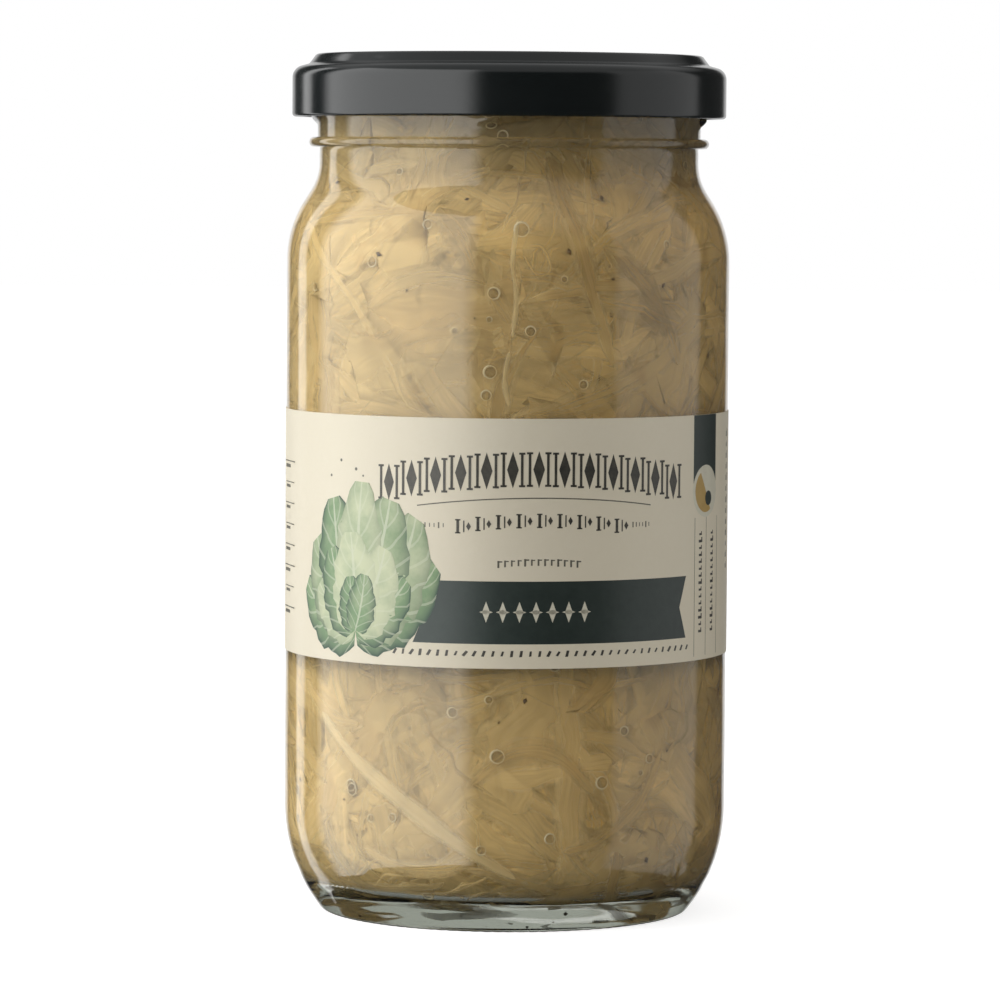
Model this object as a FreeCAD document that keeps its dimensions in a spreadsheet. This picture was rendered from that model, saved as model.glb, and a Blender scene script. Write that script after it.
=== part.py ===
import FreeCAD, Part
import os
from math import atan2, sin, tan

import Sketcher

# A filled glass preserve jar with a twist-off metal lid and a paper wrap label.
# The jar stands on the XY plane with its axis on Z, and its front faces -Y.
# Every piece is a half section turned about that axis, and only the label's turn is not full.

document = FreeCAD.newDocument("SauerkrautJar")

# ---------------------------------------------------------------- driving dimensions

SIZES = {
    # glass jar
    "jar_height": 129.5,          # bearing ring to the top of the rim
    "body_diameter": 67.0,
    "glass_wall": 2.2,
    "heel_inset": 5.6,            # side in to where the heel's slope would meet the table
    "foot_round": 1.2,
    "ring_width": 3.2,            # bearing ring, measured in from the foot
    "punt_depth": 2.2,            # how far the underside is pushed up
    "punt_slope": 5.0,
    "punt_round": 3.0,
    "heel_height": 7.6,           # where the heel's slope would meet the side
    "heel_round": 25.0,
    "floor_height": 5.2,          # inner floor above the table
    "floor_round": 8.5,
    "neck_drop": 18.3,            # rim down to where the shoulder would meet the waist
    "shoulder_rise": 7.7,
    "shoulder_round": 17.0,
    "neck_diameter": 58.0,        # finish above the bead
    "waist_inset": 0.35,          # neck in to the waist under the bead
    "waist_round": 8.0,
    "bead_drop": 13.0,            # rim down to the middle of the transfer bead
    "bead_proud": 1.3,            # bead out from the neck
    "bead_section": 1.5,          # diameter of the bead's round section
    "rim_outer_round": 0.8,
    "mouth_bevel": 0.6,
    # metal lid
    "lid_sheet": 0.3,
    "lid_height": 9.5,
    "crown_overhang": 0.2,        # crown's edge past the neck
    "crown_round": 0.8,
    "step_overhang": 1.3,
    "step_drop": 1.5,
    "step_round": 0.6,
    "skirt_overhang": 3.85,       # skirt's outside past the neck
    "skirt_drop": 2.2,
    "skirt_round": 1.8,
    "curl_width": 1.3,
    "curl_height": 1.6,
    "curl_round": 0.5,
    "panel_clearance": 0.6,       # sunk panel's edge inside the mouth
    "panel_slope": 1.2,
    "panel_depth": 0.8,
    # paper label
    "label_bottom": 39.7,
    "label_height": 36.6,
    "label_paper": 0.12,
    "label_film": 0.02,           # glue between glass and paper
    "label_gap": 12.0,            # bare glass between the label's ends, at the back
    # sauerkraut
    "fill_drop": 5.5,             # rim down to the top of the filling
    "fill_film": 0.1,             # clearance between filling and glass
    "fill_round": 1.5,
}

sheet = document.addObject("Spreadsheet::Sheet", "Sizes")
for row, (name, size) in enumerate(SIZES.items(), start=1):
    sheet.set(f"A{row}", name)
    sheet.set(f"B{row}", str(size))
    sheet.setAlias(f"B{row}", name)
document.recompute()

# Radii and heights that several pieces share, as expressions of the sheet.
BODY = "(Sizes.body_diameter / 2)"
FOOT = f"({BODY} - Sizes.heel_inset)"
NECK = "(Sizes.neck_diameter / 2)"
WAIST = f"({NECK} - Sizes.waist_inset)"
MOUTH = f"({WAIST} - Sizes.glass_wall)"
RIM = "Sizes.jar_height"
WAIST_HEIGHT = "(Sizes.jar_height - Sizes.neck_drop)"
SHOULDER_HEIGHT = f"({WAIST_HEIGHT} - Sizes.shoulder_rise)"
BEAD_HEIGHT = "(Sizes.jar_height - Sizes.bead_drop)"
BEAD_FOOT = f"({BEAD_HEIGHT} - Sizes.bead_section / 2)"
SHOULDER_HALF_TURN = f"(atan(({BODY} - {WAIST}) / Sizes.shoulder_rise) / 2)"


# ---------------------------------------------------------------- sketches and turns

def number(expression):
    """What an expression of the sheet comes to, in millimetres."""
    value = sheet.evalExpression(expression)
    return float(getattr(value, "Value", value))


def half_section(body, name):
    """A sketch on the body's own XZ plane: across is the radius, up is the height."""
    planes = {feature.Role: feature for feature in body.Origin.OriginFeatures}
    sketch = body.newObject("Sketcher::SketchObject", name)
    sketch.AttachmentSupport = [(planes["XZ_Plane"], "")]
    sketch.MapMode = "FlatFace"
    return sketch


def bind(sketch, kind, elements, expression):
    """Add a constraint whose size is an expression of the sheet."""
    index = sketch.addConstraint(Sketcher.Constraint(kind, *elements, number(expression)))
    sketch.setExpression(f"Constraints[{index}]", expression)


def hold_point(sketch, point, across, up):
    """Hold a point at a radius and a height, where "0" is on the axis or on the table."""
    if across == "0":
        sketch.addConstraint(Sketcher.Constraint("PointOnObject", point, 1, -2))
    else:
        bind(sketch, "DistanceX", (-1, 1, point, 1), across)
    if up == "0":
        sketch.addConstraint(Sketcher.Constraint("PointOnObject", point, 1, -1))
    else:
        bind(sketch, "DistanceY", (-1, 1, point, 1), up)


def add_corner_arc(sketch, start, end, centre, radius):
    """Add the short arc from start to end, and say which of its ends is which."""
    circle = Part.Circle(centre, FreeCAD.Vector(0, 0, 1), radius)
    from_centre = [end - centre, start - centre]
    start_end = 2
    end_end = 1
    if (start - centre).cross(end - centre).z > 0:
        from_centre.reverse()
        start_end = 1
        end_end = 2
    angles = [atan2(spoke.y, spoke.x) for spoke in from_centre]
    return sketch.addGeometry(Part.ArcOfCircle(circle, *angles), False), start_end, end_end


def draw_outline(sketch, corners):
    """Draw a closed outline through corners, each a radius, a height and a round or None.

    A construction point at each corner is held by the sheet. The sides run through
    those points, and a tangent arc takes each corner that has a round.
    """
    places = [FreeCAD.Vector(number(across), number(up), 0) for across, up, _ in corners]
    count = len(corners)
    points = []
    arcs = []
    starts = []
    ends = []
    for i, (across, up, round_size) in enumerate(corners):
        place = places[i]
        back = (places[i - 1] - place).normalize()
        ahead = (places[(i + 1) % count] - place).normalize()
        radius = number(round_size) if round_size else 0.0
        half_angle = back.getAngle(ahead) / 2
        starts.append(place + back * (radius / tan(half_angle)))
        ends.append(place + ahead * (radius / tan(half_angle)))
        points.append(sketch.addGeometry(Part.Point(place), True))
        hold_point(sketch, points[i], across, up)
        if round_size:
            centre = place + (back + ahead).normalize() * (radius / sin(half_angle))
            arcs.append(add_corner_arc(sketch, starts[i], ends[i], centre, radius))
            bind(sketch, "Radius", (arcs[i][0],), round_size)
        else:
            arcs.append(None)
    sides = []
    for i in range(count):
        side = Part.LineSegment(ends[i], starts[(i + 1) % count])
        sides.append(sketch.addGeometry(side, False))
    for i, corner_arc in enumerate(arcs):
        joints = ((sides[i - 1], 2), (sides[i], 1))
        for j, (side, side_end) in enumerate(joints):
            if corner_arc:
                arc_end = (corner_arc[0], corner_arc[1 + j])
                sketch.addConstraint(Sketcher.Constraint("Tangent", side, side_end, *arc_end))
                sketch.addConstraint(Sketcher.Constraint("PointOnObject", points[i], 1, side))
            else:
                sketch.addConstraint(Sketcher.Constraint("Coincident", side, side_end, points[i], 1))


def turn(body, kind, name, corners):
    """Turn an outline about the body's Z axis: a Revolution adds it, a Groove cuts it."""
    sketch = half_section(body, f"{name}Section")
    draw_outline(sketch, corners)
    feature = body.newObject(f"PartDesign::{kind}", name)
    feature.Profile = sketch
    feature.ReferenceAxis = (sketch, ["V_Axis"])
    feature.Angle = 360.0
    return feature


def new_body(label):
    body = document.addObject("PartDesign::Body", label)
    body.Label = label
    return body


# ---------------------------------------------------------------- glass jar

def inside_corners(gap, film, top, top_round):
    """Corners of the jar's inside, from the floor up to a height.

    The gap is measured square to the outer wall, so the two shoulder corners drop
    by the tangent of half the shoulder's slope. The film is the part of the gap
    that lies inside the glass.
    """
    corner_drop = f"({gap} * tan({SHOULDER_HALF_TURN}))"
    floor = f"Sizes.floor_height + {film}"
    side = f"{BODY} - {gap}"
    throat = f"{WAIST} - {gap}"
    return [
        ("0", floor, None),
        (side, floor, f"Sizes.floor_round - {film}"),
        (side, f"{SHOULDER_HEIGHT} - {corner_drop}", f"Sizes.shoulder_round - {gap}"),
        (throat, f"{WAIST_HEIGHT} - {corner_drop}", f"Sizes.waist_round + {gap}"),
        (throat, top, top_round),
        ("0", top, None),
    ]


def build_jar():
    """One piece of pressed and blown glass: foot, heel, body, shoulder, bead and rim."""
    jar = new_body("jar")
    turn(jar, "Revolution", "Outside", [
        ("0", "0", None),
        (FOOT, "0", "Sizes.foot_round"),
        (BODY, "Sizes.heel_height", "Sizes.heel_round"),
        (BODY, SHOULDER_HEIGHT, "Sizes.shoulder_round"),
        (WAIST, WAIST_HEIGHT, "Sizes.waist_round"),
        (WAIST, BEAD_FOOT, None),
        (NECK, BEAD_FOOT, None),
        (NECK, RIM, "Sizes.rim_outer_round"),
        ("0", RIM, None),
    ])

    bead_section = half_section(jar, "BeadSection")
    section_radius = "Sizes.bead_section / 2"
    section_across = f"{NECK} + Sizes.bead_proud - {section_radius}"
    centre = FreeCAD.Vector(number(section_across), number(BEAD_HEIGHT), 0)
    up = FreeCAD.Vector(0, 0, 1)
    circle = bead_section.addGeometry(Part.Circle(centre, up, number(section_radius)), False)
    bind(bead_section, "DistanceX", (-1, 1, circle, 3), section_across)
    bind(bead_section, "DistanceY", (-1, 1, circle, 3), BEAD_HEIGHT)
    bind(bead_section, "Radius", (circle,), section_radius)
    bead = jar.newObject("PartDesign::Revolution", "Bead")
    bead.Profile = bead_section
    bead.ReferenceAxis = (bead_section, ["V_Axis"])
    bead.Angle = 360.0

    ring_inside = f"{FOOT} - Sizes.ring_width"
    turn(jar, "Groove", "Punt", [
        ("0", "0", None),
        (ring_inside, "0", None),
        (f"{ring_inside} - Sizes.punt_slope", "Sizes.punt_depth", "Sizes.punt_round"),
        ("0", "Sizes.punt_depth", None),
    ])
    turn(jar, "Groove", "Inside", inside_corners("Sizes.glass_wall", "0", RIM, None))
    turn(jar, "Groove", "MouthBevel", [
        (MOUTH, f"{RIM} - Sizes.mouth_bevel", None),
        (f"{MOUTH} + Sizes.mouth_bevel", RIM, None),
        (MOUTH, RIM, None),
    ])
    return jar


# ---------------------------------------------------------------- metal lid

def build_lid():
    """A drawn tinplate cap: sunk panel, raised crown, stepped shoulder, skirt and curl."""
    lid = new_body("lid")
    sheet_size = "Sizes.lid_sheet"
    top = f"({RIM} + {sheet_size})"
    bottom = f"({top} - Sizes.lid_height)"
    panel_edge = f"({MOUTH} - Sizes.panel_clearance)"
    panel_foot = f"({panel_edge} - Sizes.panel_slope)"
    crown = f"({NECK} + Sizes.crown_overhang)"
    step = f"({NECK} + Sizes.step_overhang)"
    skirt = f"({NECK} + Sizes.skirt_overhang)"
    curl = f"({skirt} - Sizes.curl_width)"
    panel = f"({top} - Sizes.panel_depth)"
    step_height = f"({top} - Sizes.step_drop)"
    skirt_height = f"({top} - Sizes.skirt_drop)"
    curl_height = f"({bottom} + Sizes.curl_height)"
    turn(lid, "Revolution", "Cap", [
        ("0", panel, None),
        (panel_foot, panel, None),
        (panel_edge, top, None),
        (crown, top, "Sizes.crown_round"),
        (step, step_height, "Sizes.step_round"),
        (skirt, skirt_height, "Sizes.skirt_round"),
        (skirt, bottom, "Sizes.curl_round"),
        (curl, bottom, "Sizes.curl_round"),
        (curl, curl_height, None),
        (f"{skirt} - {sheet_size}", curl_height, None),
        (f"{skirt} - {sheet_size}", f"{skirt_height} - {sheet_size}",
         f"Sizes.skirt_round - {sheet_size}"),
        (f"{step} - {sheet_size}", f"{step_height} - {sheet_size}",
         f"Sizes.step_round + {sheet_size}"),
        (f"{crown} - {sheet_size} / 2", RIM, f"Sizes.crown_round - {sheet_size}"),
        (panel_edge, RIM, None),
        (panel_foot, f"{panel} - {sheet_size}", None),
        ("0", f"{panel} - {sheet_size}", None),
    ])
    return lid


# ---------------------------------------------------------------- paper label

def build_label():
    """Paper glued round the straight part of the body, open at the back."""
    label = new_body("label")
    inside = f"({BODY} + Sizes.label_film)"
    outside = f"({inside} + Sizes.label_paper)"
    top = "Sizes.label_bottom + Sizes.label_height"
    paper = turn(label, "Revolution", "Paper", [
        (inside, "Sizes.label_bottom", None),
        (outside, "Sizes.label_bottom", None),
        (outside, top, None),
        (inside, top, None),
    ])
    paper.Midplane = True
    paper.setExpression("Angle", f"360 - Sizes.label_gap / {outside} * 180 / pi")
    # The section lies on +X, so the body is turned to bring the label's middle to -Y.
    label.Placement = FreeCAD.Placement(
        FreeCAD.Vector(), FreeCAD.Rotation(FreeCAD.Vector(0, 0, 1), -90))
    return label


# ---------------------------------------------------------------- sauerkraut

def build_sauerkraut():
    """The shreds and their brine as one mass that fills the jar to just under the lid."""
    sauerkraut = new_body("sauerkraut")
    gap = "(Sizes.glass_wall + Sizes.fill_film)"
    level = f"{RIM} - Sizes.fill_drop"
    corners = inside_corners(gap, "Sizes.fill_film", level, "Sizes.fill_round")
    turn(sauerkraut, "Revolution", "Filling", corners)
    return sauerkraut


# ---------------------------------------------------------------- check and write

def check(pieces):
    document.recompute()
    for item in document.Objects:
        if "Invalid" in item.State or "Error" in item.State:
            raise RuntimeError(f"{item.Label} failed: {item.State}")
        if item.isDerivedFrom("Sketcher::SketchObject") and not item.FullyConstrained:
            raise RuntimeError(f"{item.Label} isn't fully constrained")
    for piece in pieces:
        if piece.Shape.isNull() or not piece.Shape.isValid():
            raise RuntimeError(f"{piece.Label} has no valid shape")
        if len(piece.Shape.Solids) != 1:
            raise RuntimeError(f"{piece.Label} isn't one solid")


def write(pieces):
    os.makedirs("parts", exist_ok=True)
    for piece in pieces:
        box = piece.Shape.BoundBox
        piece.Shape.exportStep(f"parts/{piece.Label}.step")
        print(f"{piece.Label}: {piece.Shape.Volume:.1f} mm3, z {box.ZMin:.2f} to {box.ZMax:.2f}")


pieces = [build_jar(), build_lid(), build_label(), build_sauerkraut()]
check(pieces)
write(pieces)
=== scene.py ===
from math import acos, atan2, ceil, cos, pi, radians, sin, sqrt, tan

import bmesh
import bpy
import numpy as np
from mathutils import Matrix, Vector, noise


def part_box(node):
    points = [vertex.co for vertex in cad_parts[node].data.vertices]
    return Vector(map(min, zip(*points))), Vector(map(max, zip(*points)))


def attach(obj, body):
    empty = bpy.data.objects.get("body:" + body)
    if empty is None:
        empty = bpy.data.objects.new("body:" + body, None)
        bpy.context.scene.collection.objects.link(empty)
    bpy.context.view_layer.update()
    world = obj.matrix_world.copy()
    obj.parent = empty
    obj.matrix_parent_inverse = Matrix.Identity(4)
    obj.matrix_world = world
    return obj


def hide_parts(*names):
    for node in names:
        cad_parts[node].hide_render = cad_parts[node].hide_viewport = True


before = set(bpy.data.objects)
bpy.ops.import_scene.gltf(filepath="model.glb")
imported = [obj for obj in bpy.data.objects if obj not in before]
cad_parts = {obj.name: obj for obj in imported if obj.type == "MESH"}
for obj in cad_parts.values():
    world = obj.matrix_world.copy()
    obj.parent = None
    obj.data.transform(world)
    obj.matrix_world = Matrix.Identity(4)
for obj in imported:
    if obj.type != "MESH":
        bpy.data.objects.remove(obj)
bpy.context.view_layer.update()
MM = 0.001


# ---------------------------------------------------------------- glass jar
# A blow-moulded jar of clear soda-lime glass: knurled bearing ring, long heel, straight body,
# sloped shoulder, transfer bead and a finish with four thread starts. The mould leaves a fine
# seam up each side, marks on the heel and a slight waviness all over.

GLASS_STEPS = 300
WALL = 2.2
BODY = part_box("jar")[1].x / MM
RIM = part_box("jar")[1].z / MM
NECK = 29.0
WAIST = NECK - 0.35
WAIST_HEIGHT = RIM - 18.3
WAIST_ROUND = 8.0
SHOULDER_DROP = 7.7
SHOULDER_HEIGHT = WAIST_HEIGHT - SHOULDER_DROP
SHOULDER_ROUND = 17.0
HEEL_HEIGHT = 7.6
HEEL_ROUND = 25.0
BEAD_HEIGHT = RIM - 13.0
BEAD_SECTION = 0.75
BEAD_CENTRE = NECK + 1.3 - BEAD_SECTION
FOOT = BODY - 5.6
RING_INSIDE = FOOT - 3.2
KNURLS = 100
UNDERSIDE = 2.2
FLOOR = 5.2
FLOOR_ROUND = 8.5
FILL_LEVEL = RIM - 5.5


def rounded(corners, longest=2.5):
    """An outline's points, from corners that are each a radius, a height and a round."""
    places = [Vector(corner[:2]) for corner in corners]
    points = []
    for i, (across, up, size) in enumerate(corners):
        if size and 0 < i < len(corners) - 1:
            back = (places[i - 1] - places[i]).normalized()
            ahead = (places[i + 1] - places[i]).normalized()
            half = back.angle(ahead) / 2
            start = places[i] + back * (size / tan(half))
            end = places[i] + ahead * (size / tan(half))
            centre = places[i] + (back + ahead).normalized() * (size / sin(half))
            turn = pi - 2 * half
            count = max(2, ceil(turn / radians(7)), ceil(turn * size / longest))
            first = start - centre
            side = 1 if back.cross(ahead) < 0 else -1
            arc = [centre + Matrix.Rotation(side * turn * j / count, 2) @ first
                   for j in range(count)]
            arc.append(end)
        else:
            arc = [places[i]]
        if points:
            gap = (arc[0] - points[-1]).length
            count = ceil(gap / longest)
            before = points[-1]
            points += [before.lerp(arc[0], j / count) for j in range(1, count)]
        points += arc
    return points


def added(name, data):
    """An object of its own for some data, linked into the scene."""
    thing = bpy.data.objects.new(name, data)
    bpy.context.scene.collection.objects.link(thing)
    return thing


def made(name, shape, finish=None):
    """A smooth object from a bmesh, which is freed."""
    for face in shape.faces:
        face.smooth = True
    data = bpy.data.meshes.new(name)
    shape.to_mesh(data)
    shape.free()
    if finish:
        data.materials.append(finish)
    return added(name, data)


def round_at(radius, angle, up):
    """A place at a radius, an angle from the front and a height."""
    return radius * sin(angle), -radius * cos(angle), up


def turned(name, points, steps):
    """A mesh turned about Z from an outline in millimetres. A point on the axis is a pole."""
    mesh = bmesh.new()
    rows = []
    for point in points:
        if point.x < 1e-6:
            rows.append([mesh.verts.new((0, 0, point.y * MM))])
        else:
            rows.append([mesh.verts.new(round_at(point.x * MM, 2 * pi * j / steps, point.y * MM))
                         for j in range(steps)])
    for below, above in zip(rows, rows[1:]):
        for j in range(steps):
            k = (j + 1) % steps
            if len(below) == 1 and len(above) == 1:
                continue
            if len(below) == 1:
                corners = (below[0], above[k], above[j])
            elif len(above) == 1:
                corners = (below[j], below[k], above[0])
            else:
                corners = (below[j], below[k], above[k], above[j])
            mesh.faces.new(corners)
    bmesh.ops.recalc_face_normals(mesh, faces=mesh.faces)
    return made(name, mesh)


def feed(tree, node, inputs):
    """Link or fill a node's inputs by name or number."""
    for name, value in inputs.items():
        if isinstance(value, bpy.types.NodeSocket):
            tree.links.new(value, node.inputs[name])
        else:
            node.inputs[name].default_value = value


def add_node(tree, kind, inputs=None, **settings):
    """Add a node, set its properties and feed it."""
    node = tree.nodes.new(kind)
    for name, value in settings.items():
        setattr(node, name, value)
    feed(tree, node, inputs or {})
    return node


def maths(tree, operation, *values):
    """A Math node's result, from sockets or numbers."""
    return add_node(tree, "ShaderNodeMath", dict(enumerate(values)), operation=operation).outputs[0]


def ranged(tree, value, low, high, to_low=0.0, to_high=1.0):
    """A value brought from one range to another, and kept inside it."""
    return add_node(tree, "ShaderNodeMapRange", {
        "Value": value, "From Min": low, "From Max": high,
        "To Min": to_low, "To Max": to_high}).outputs[0]


def blended(tree, share, first, second):
    """A blend of two colours by a share."""
    return add_node(tree, "ShaderNodeMix", {"Factor": share, 6: first, 7: second},
                    data_type="RGBA").outputs[2]


def own_place(tree):
    """The place in the object's own space."""
    return add_node(tree, "ShaderNodeTexCoord").outputs["Object"]


def own_height(tree):
    """The height in the object's own space."""
    return add_node(tree, "ShaderNodeSeparateXYZ", {0: own_place(tree)}).outputs["Z"]


def new_material(name):
    """A material with a bare Principled BSDF, its tree and that node."""
    material = bpy.data.materials.new(name)
    material.use_nodes = True
    tree = material.node_tree
    return material, tree, tree.nodes["Principled BSDF"]


WALL_TINT = (0.985, 0.99, 0.975, 1)


def glass_material(name, index, base_green_and_shade):
    """Glass that lamps shine through, grey-green near the table: partly the thick glass's own colour,
    partly painted shade.
    """
    material, tree, shader = new_material(name)
    rise = ranged(tree, own_height(tree), 4.6 * MM, 6.4 * MM)
    feed(tree, shader, {
        "Base Color": blended(tree, rise, base_green_and_shade, WALL_TINT), "Roughness": 0.028,
        "IOR": index, "Transmission Weight": 1.0})
    clear = add_node(tree, "ShaderNodeBsdfTransparent")
    shadow = add_node(tree, "ShaderNodeLightPath").outputs["Is Shadow Ray"]
    mix = add_node(tree, "ShaderNodeMixShader", {0: shadow, 1: shader.outputs[0], 2: clear.outputs[0]})
    feed(tree, tree.nodes["Material Output"], {"Surface": mix.outputs[0]})
    return material


def inside_outline(gap, film, level):
    """The jar's inside as corners, from the middle of the floor up, a gap inside the outer wall."""
    half_turn = atan2(BODY - WAIST, SHOULDER_DROP) / 2
    drop = gap * tan(half_turn)
    return [
        (0, FLOOR + film, 0),
        (BODY - gap, FLOOR + film, FLOOR_ROUND - film),
        (BODY - gap, SHOULDER_HEIGHT - drop, SHOULDER_ROUND - gap),
        (WAIST - gap, WAIST_HEIGHT - drop, WAIST_ROUND + gap),
        (WAIST - gap, level, 0),
    ]


half_bead = acos((NECK - BEAD_CENTRE) / BEAD_SECTION)
bead = [Vector((BEAD_CENTRE + BEAD_SECTION * cos(angle), BEAD_HEIGHT + BEAD_SECTION * sin(angle)))
        for angle in (-half_bead + 2 * half_bead * j / 12 for j in range(13))]
outer_glass = rounded([
    (0, UNDERSIDE, 0),
    (RING_INSIDE - 5, UNDERSIDE, 3),
    (RING_INSIDE, 0.12, 0.5),
    (RING_INSIDE + 1.0, 0.0, 1.0),
    (FOOT, 0, 1.2),
    (BODY, HEEL_HEIGHT, HEEL_ROUND),
    (BODY, SHOULDER_HEIGHT, SHOULDER_ROUND),
    (WAIST, WAIST_HEIGHT, WAIST_ROUND),
    (WAIST, BEAD_HEIGHT - BEAD_SECTION, 0),
], 1.0)
outer_glass += bead
outer_glass += rounded([
    (NECK, BEAD_HEIGHT + BEAD_SECTION, 0),
    (NECK, RIM, 0.8),
    (WAIST - WALL + 0.6, RIM, 0.4),
    (WAIST - WALL, RIM - 0.6, 0.4),
    (WAIST - WALL, RIM - 1.2, 0),
], 0.45)
inner_glass = rounded(inside_outline(WALL, 0, RIM - 1.3), 2.0)
inner_glass.reverse()
jar = turned("glass_jar", outer_glass + inner_glass, GLASS_STEPS)

jar_place = np.empty(len(jar.data.vertices) * 3)
jar.data.vertices.foreach_get("co", jar_place)
jar_place = jar_place.reshape(-1, 3) / MM
across = np.hypot(jar_place[:, 0], jar_place[:, 1])
azimuth = np.degrees(np.arctan2(jar_place[:, 0], -jar_place[:, 1]))
height = jar_place[:, 2]
outside = np.zeros(len(across))
outer_rows = sum(GLASS_STEPS if point.x > 1e-6 else 1 for point in outer_glass)
outside[:outer_rows] = 1


def hump(distance, reach):
    """1 in the middle of a raised mark, falling softly to 0 at its reach."""
    return np.cos(np.clip(np.abs(distance) / reach, 0, 1) * pi / 2) ** 2


def swell(by):
    """Move the glass outwards from the axis, point by point, in millimetres."""
    jar_place[:, :2] *= (1 + by / np.maximum(across, 1))[:, None]


proud = np.zeros(len(across))
# thread starts, which climb to the right round a fifth of the neck each
THREAD_PROUD = 1.0
THREAD_RUN = 72.0
THREAD_CLIMB = 4.6
for start in (-11, 79, 169, -101):
    along = (azimuth - start) % 360
    middle = BEAD_HEIGHT + 3.2 + THREAD_CLIMB * along / THREAD_RUN
    ends = np.clip(along / 4, 0, 1) * np.clip((THREAD_RUN - along) / 6, 0, 1)
    proud += THREAD_PROUD * hump(height - middle, 1.3) * ends * (along < THREAD_RUN)
# mould seam on each side
for side in (90, -90):
    proud += 0.06 * hump((azimuth - side) * BODY * pi / 180, 0.7) * (height < RIM - 14)
# four dots and two groups of small marks on the heel
for mark in (51.4, 57.0, 62.1, 67.1):
    proud += 0.6 * hump(np.hypot((azimuth - mark) * 0.58, height - 8.3), 0.75)
for mark in (-4.2, -1.6, 1.4, 4.4, 15, 18.2, 21.4, 24.7):
    proud += 0.16 * hump(np.hypot((azimuth - mark) * 0.57, height - 8.0), 0.7)
waves = np.array([noise.noise(Vector(p) * 0.09) + 0.4 * noise.noise(Vector(p) * 0.3)
                  for p in jar_place])
proud += 0.035 * waves * (height > 2)
proud *= outside
swell(proud)
# knurls across the bearing ring
on_ring = outside * hump(across - RING_INSIDE - 1.2, 2.4) * (height < 2)
jar_place[:, 2] += 0.22 * on_ring * (0.5 + 0.5 * np.cos(radians(1) * azimuth * KNURLS))
# inner wall: the glass is a little uneven in thickness
uneven = 0.05 * waves * (1 - outside) * (height > FLOOR + 1) * (height < FILL_LEVEL)
swell(uneven)
# the thick base is cast with slow ripples that run round it
ripples = np.array([noise.noise(Vector((x * 0.045, y * 0.045, (r * 0.75 + z) * 0.75)))
                    for (x, y, z), r in zip(jar_place, across)])
on_heel = outside * (height > 0.6) * np.clip((9 - height) / 2, 0, 1)
swell(0.16 * ripples * on_heel)
underneath = outside * (across < RING_INSIDE - 1) * (height < 3)
jar_place[:, 2] += 0.22 * ripples * underneath
on_floor = (1 - outside) * (height < FLOOR + 0.4)
jar_place[:, 2] += 0.12 * ripples * on_floor
jar.data.vertices.foreach_set("co", (jar_place * MM).ravel())
jar.data.update()

# The base's grey-green is partly the thick glass's own colour and partly painted shade. It is darker than
# the glass alone, standing in for the dark things seen through the base.
BASE_GREEN_AND_SHADE = (0.31, 0.335, 0.285, 1)
jar.data.materials.append(glass_material("clear_glass", 1.5, BASE_GREEN_AND_SHADE))
jar.data.materials.append(glass_material("wetted_glass", 1.125, BASE_GREEN_AND_SHADE))
for face in jar.data.polygons:
    wet = all(i >= outer_rows for i in face.vertices) and face.center.z < FILL_LEVEL * MM
    face.material_index = 1 if wet else 0
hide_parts("jar")
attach(jar, "root")


# ---------------------------------------------------------------- sauerkraut core
# Fermented white cabbage, packed tight in cloudy brine. Behind the shreds that lie on the glass
# the mass can't be told apart, so it is one lumpy body, darker and more golden further from the glass:
# partly the brine's colour, partly painted shade between the shreds.

PRESS = 0.15
CORE_GAP = 1.35
CORE_LUMP = 0.7


def grain(tree, scale, detail, rough=0.5):
    """Noise in the object's own space."""
    return add_node(tree, "ShaderNodeTexNoise", {
        "Vector": own_place(tree), "Scale": scale, "Detail": detail, "Roughness": rough}).outputs[0]


def attribute(tree, word):
    """A number that each point of the mesh carries."""
    return add_node(tree, "ShaderNodeAttribute", attribute_name=word).outputs["Fac"]


def bumped(tree, height, strength, depth):
    """A fine relief from a height, as deep as that many millimetres."""
    return add_node(tree, "ShaderNodeBump", {
        "Height": height, "Strength": strength, "Distance": depth * MM}).outputs[0]


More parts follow.
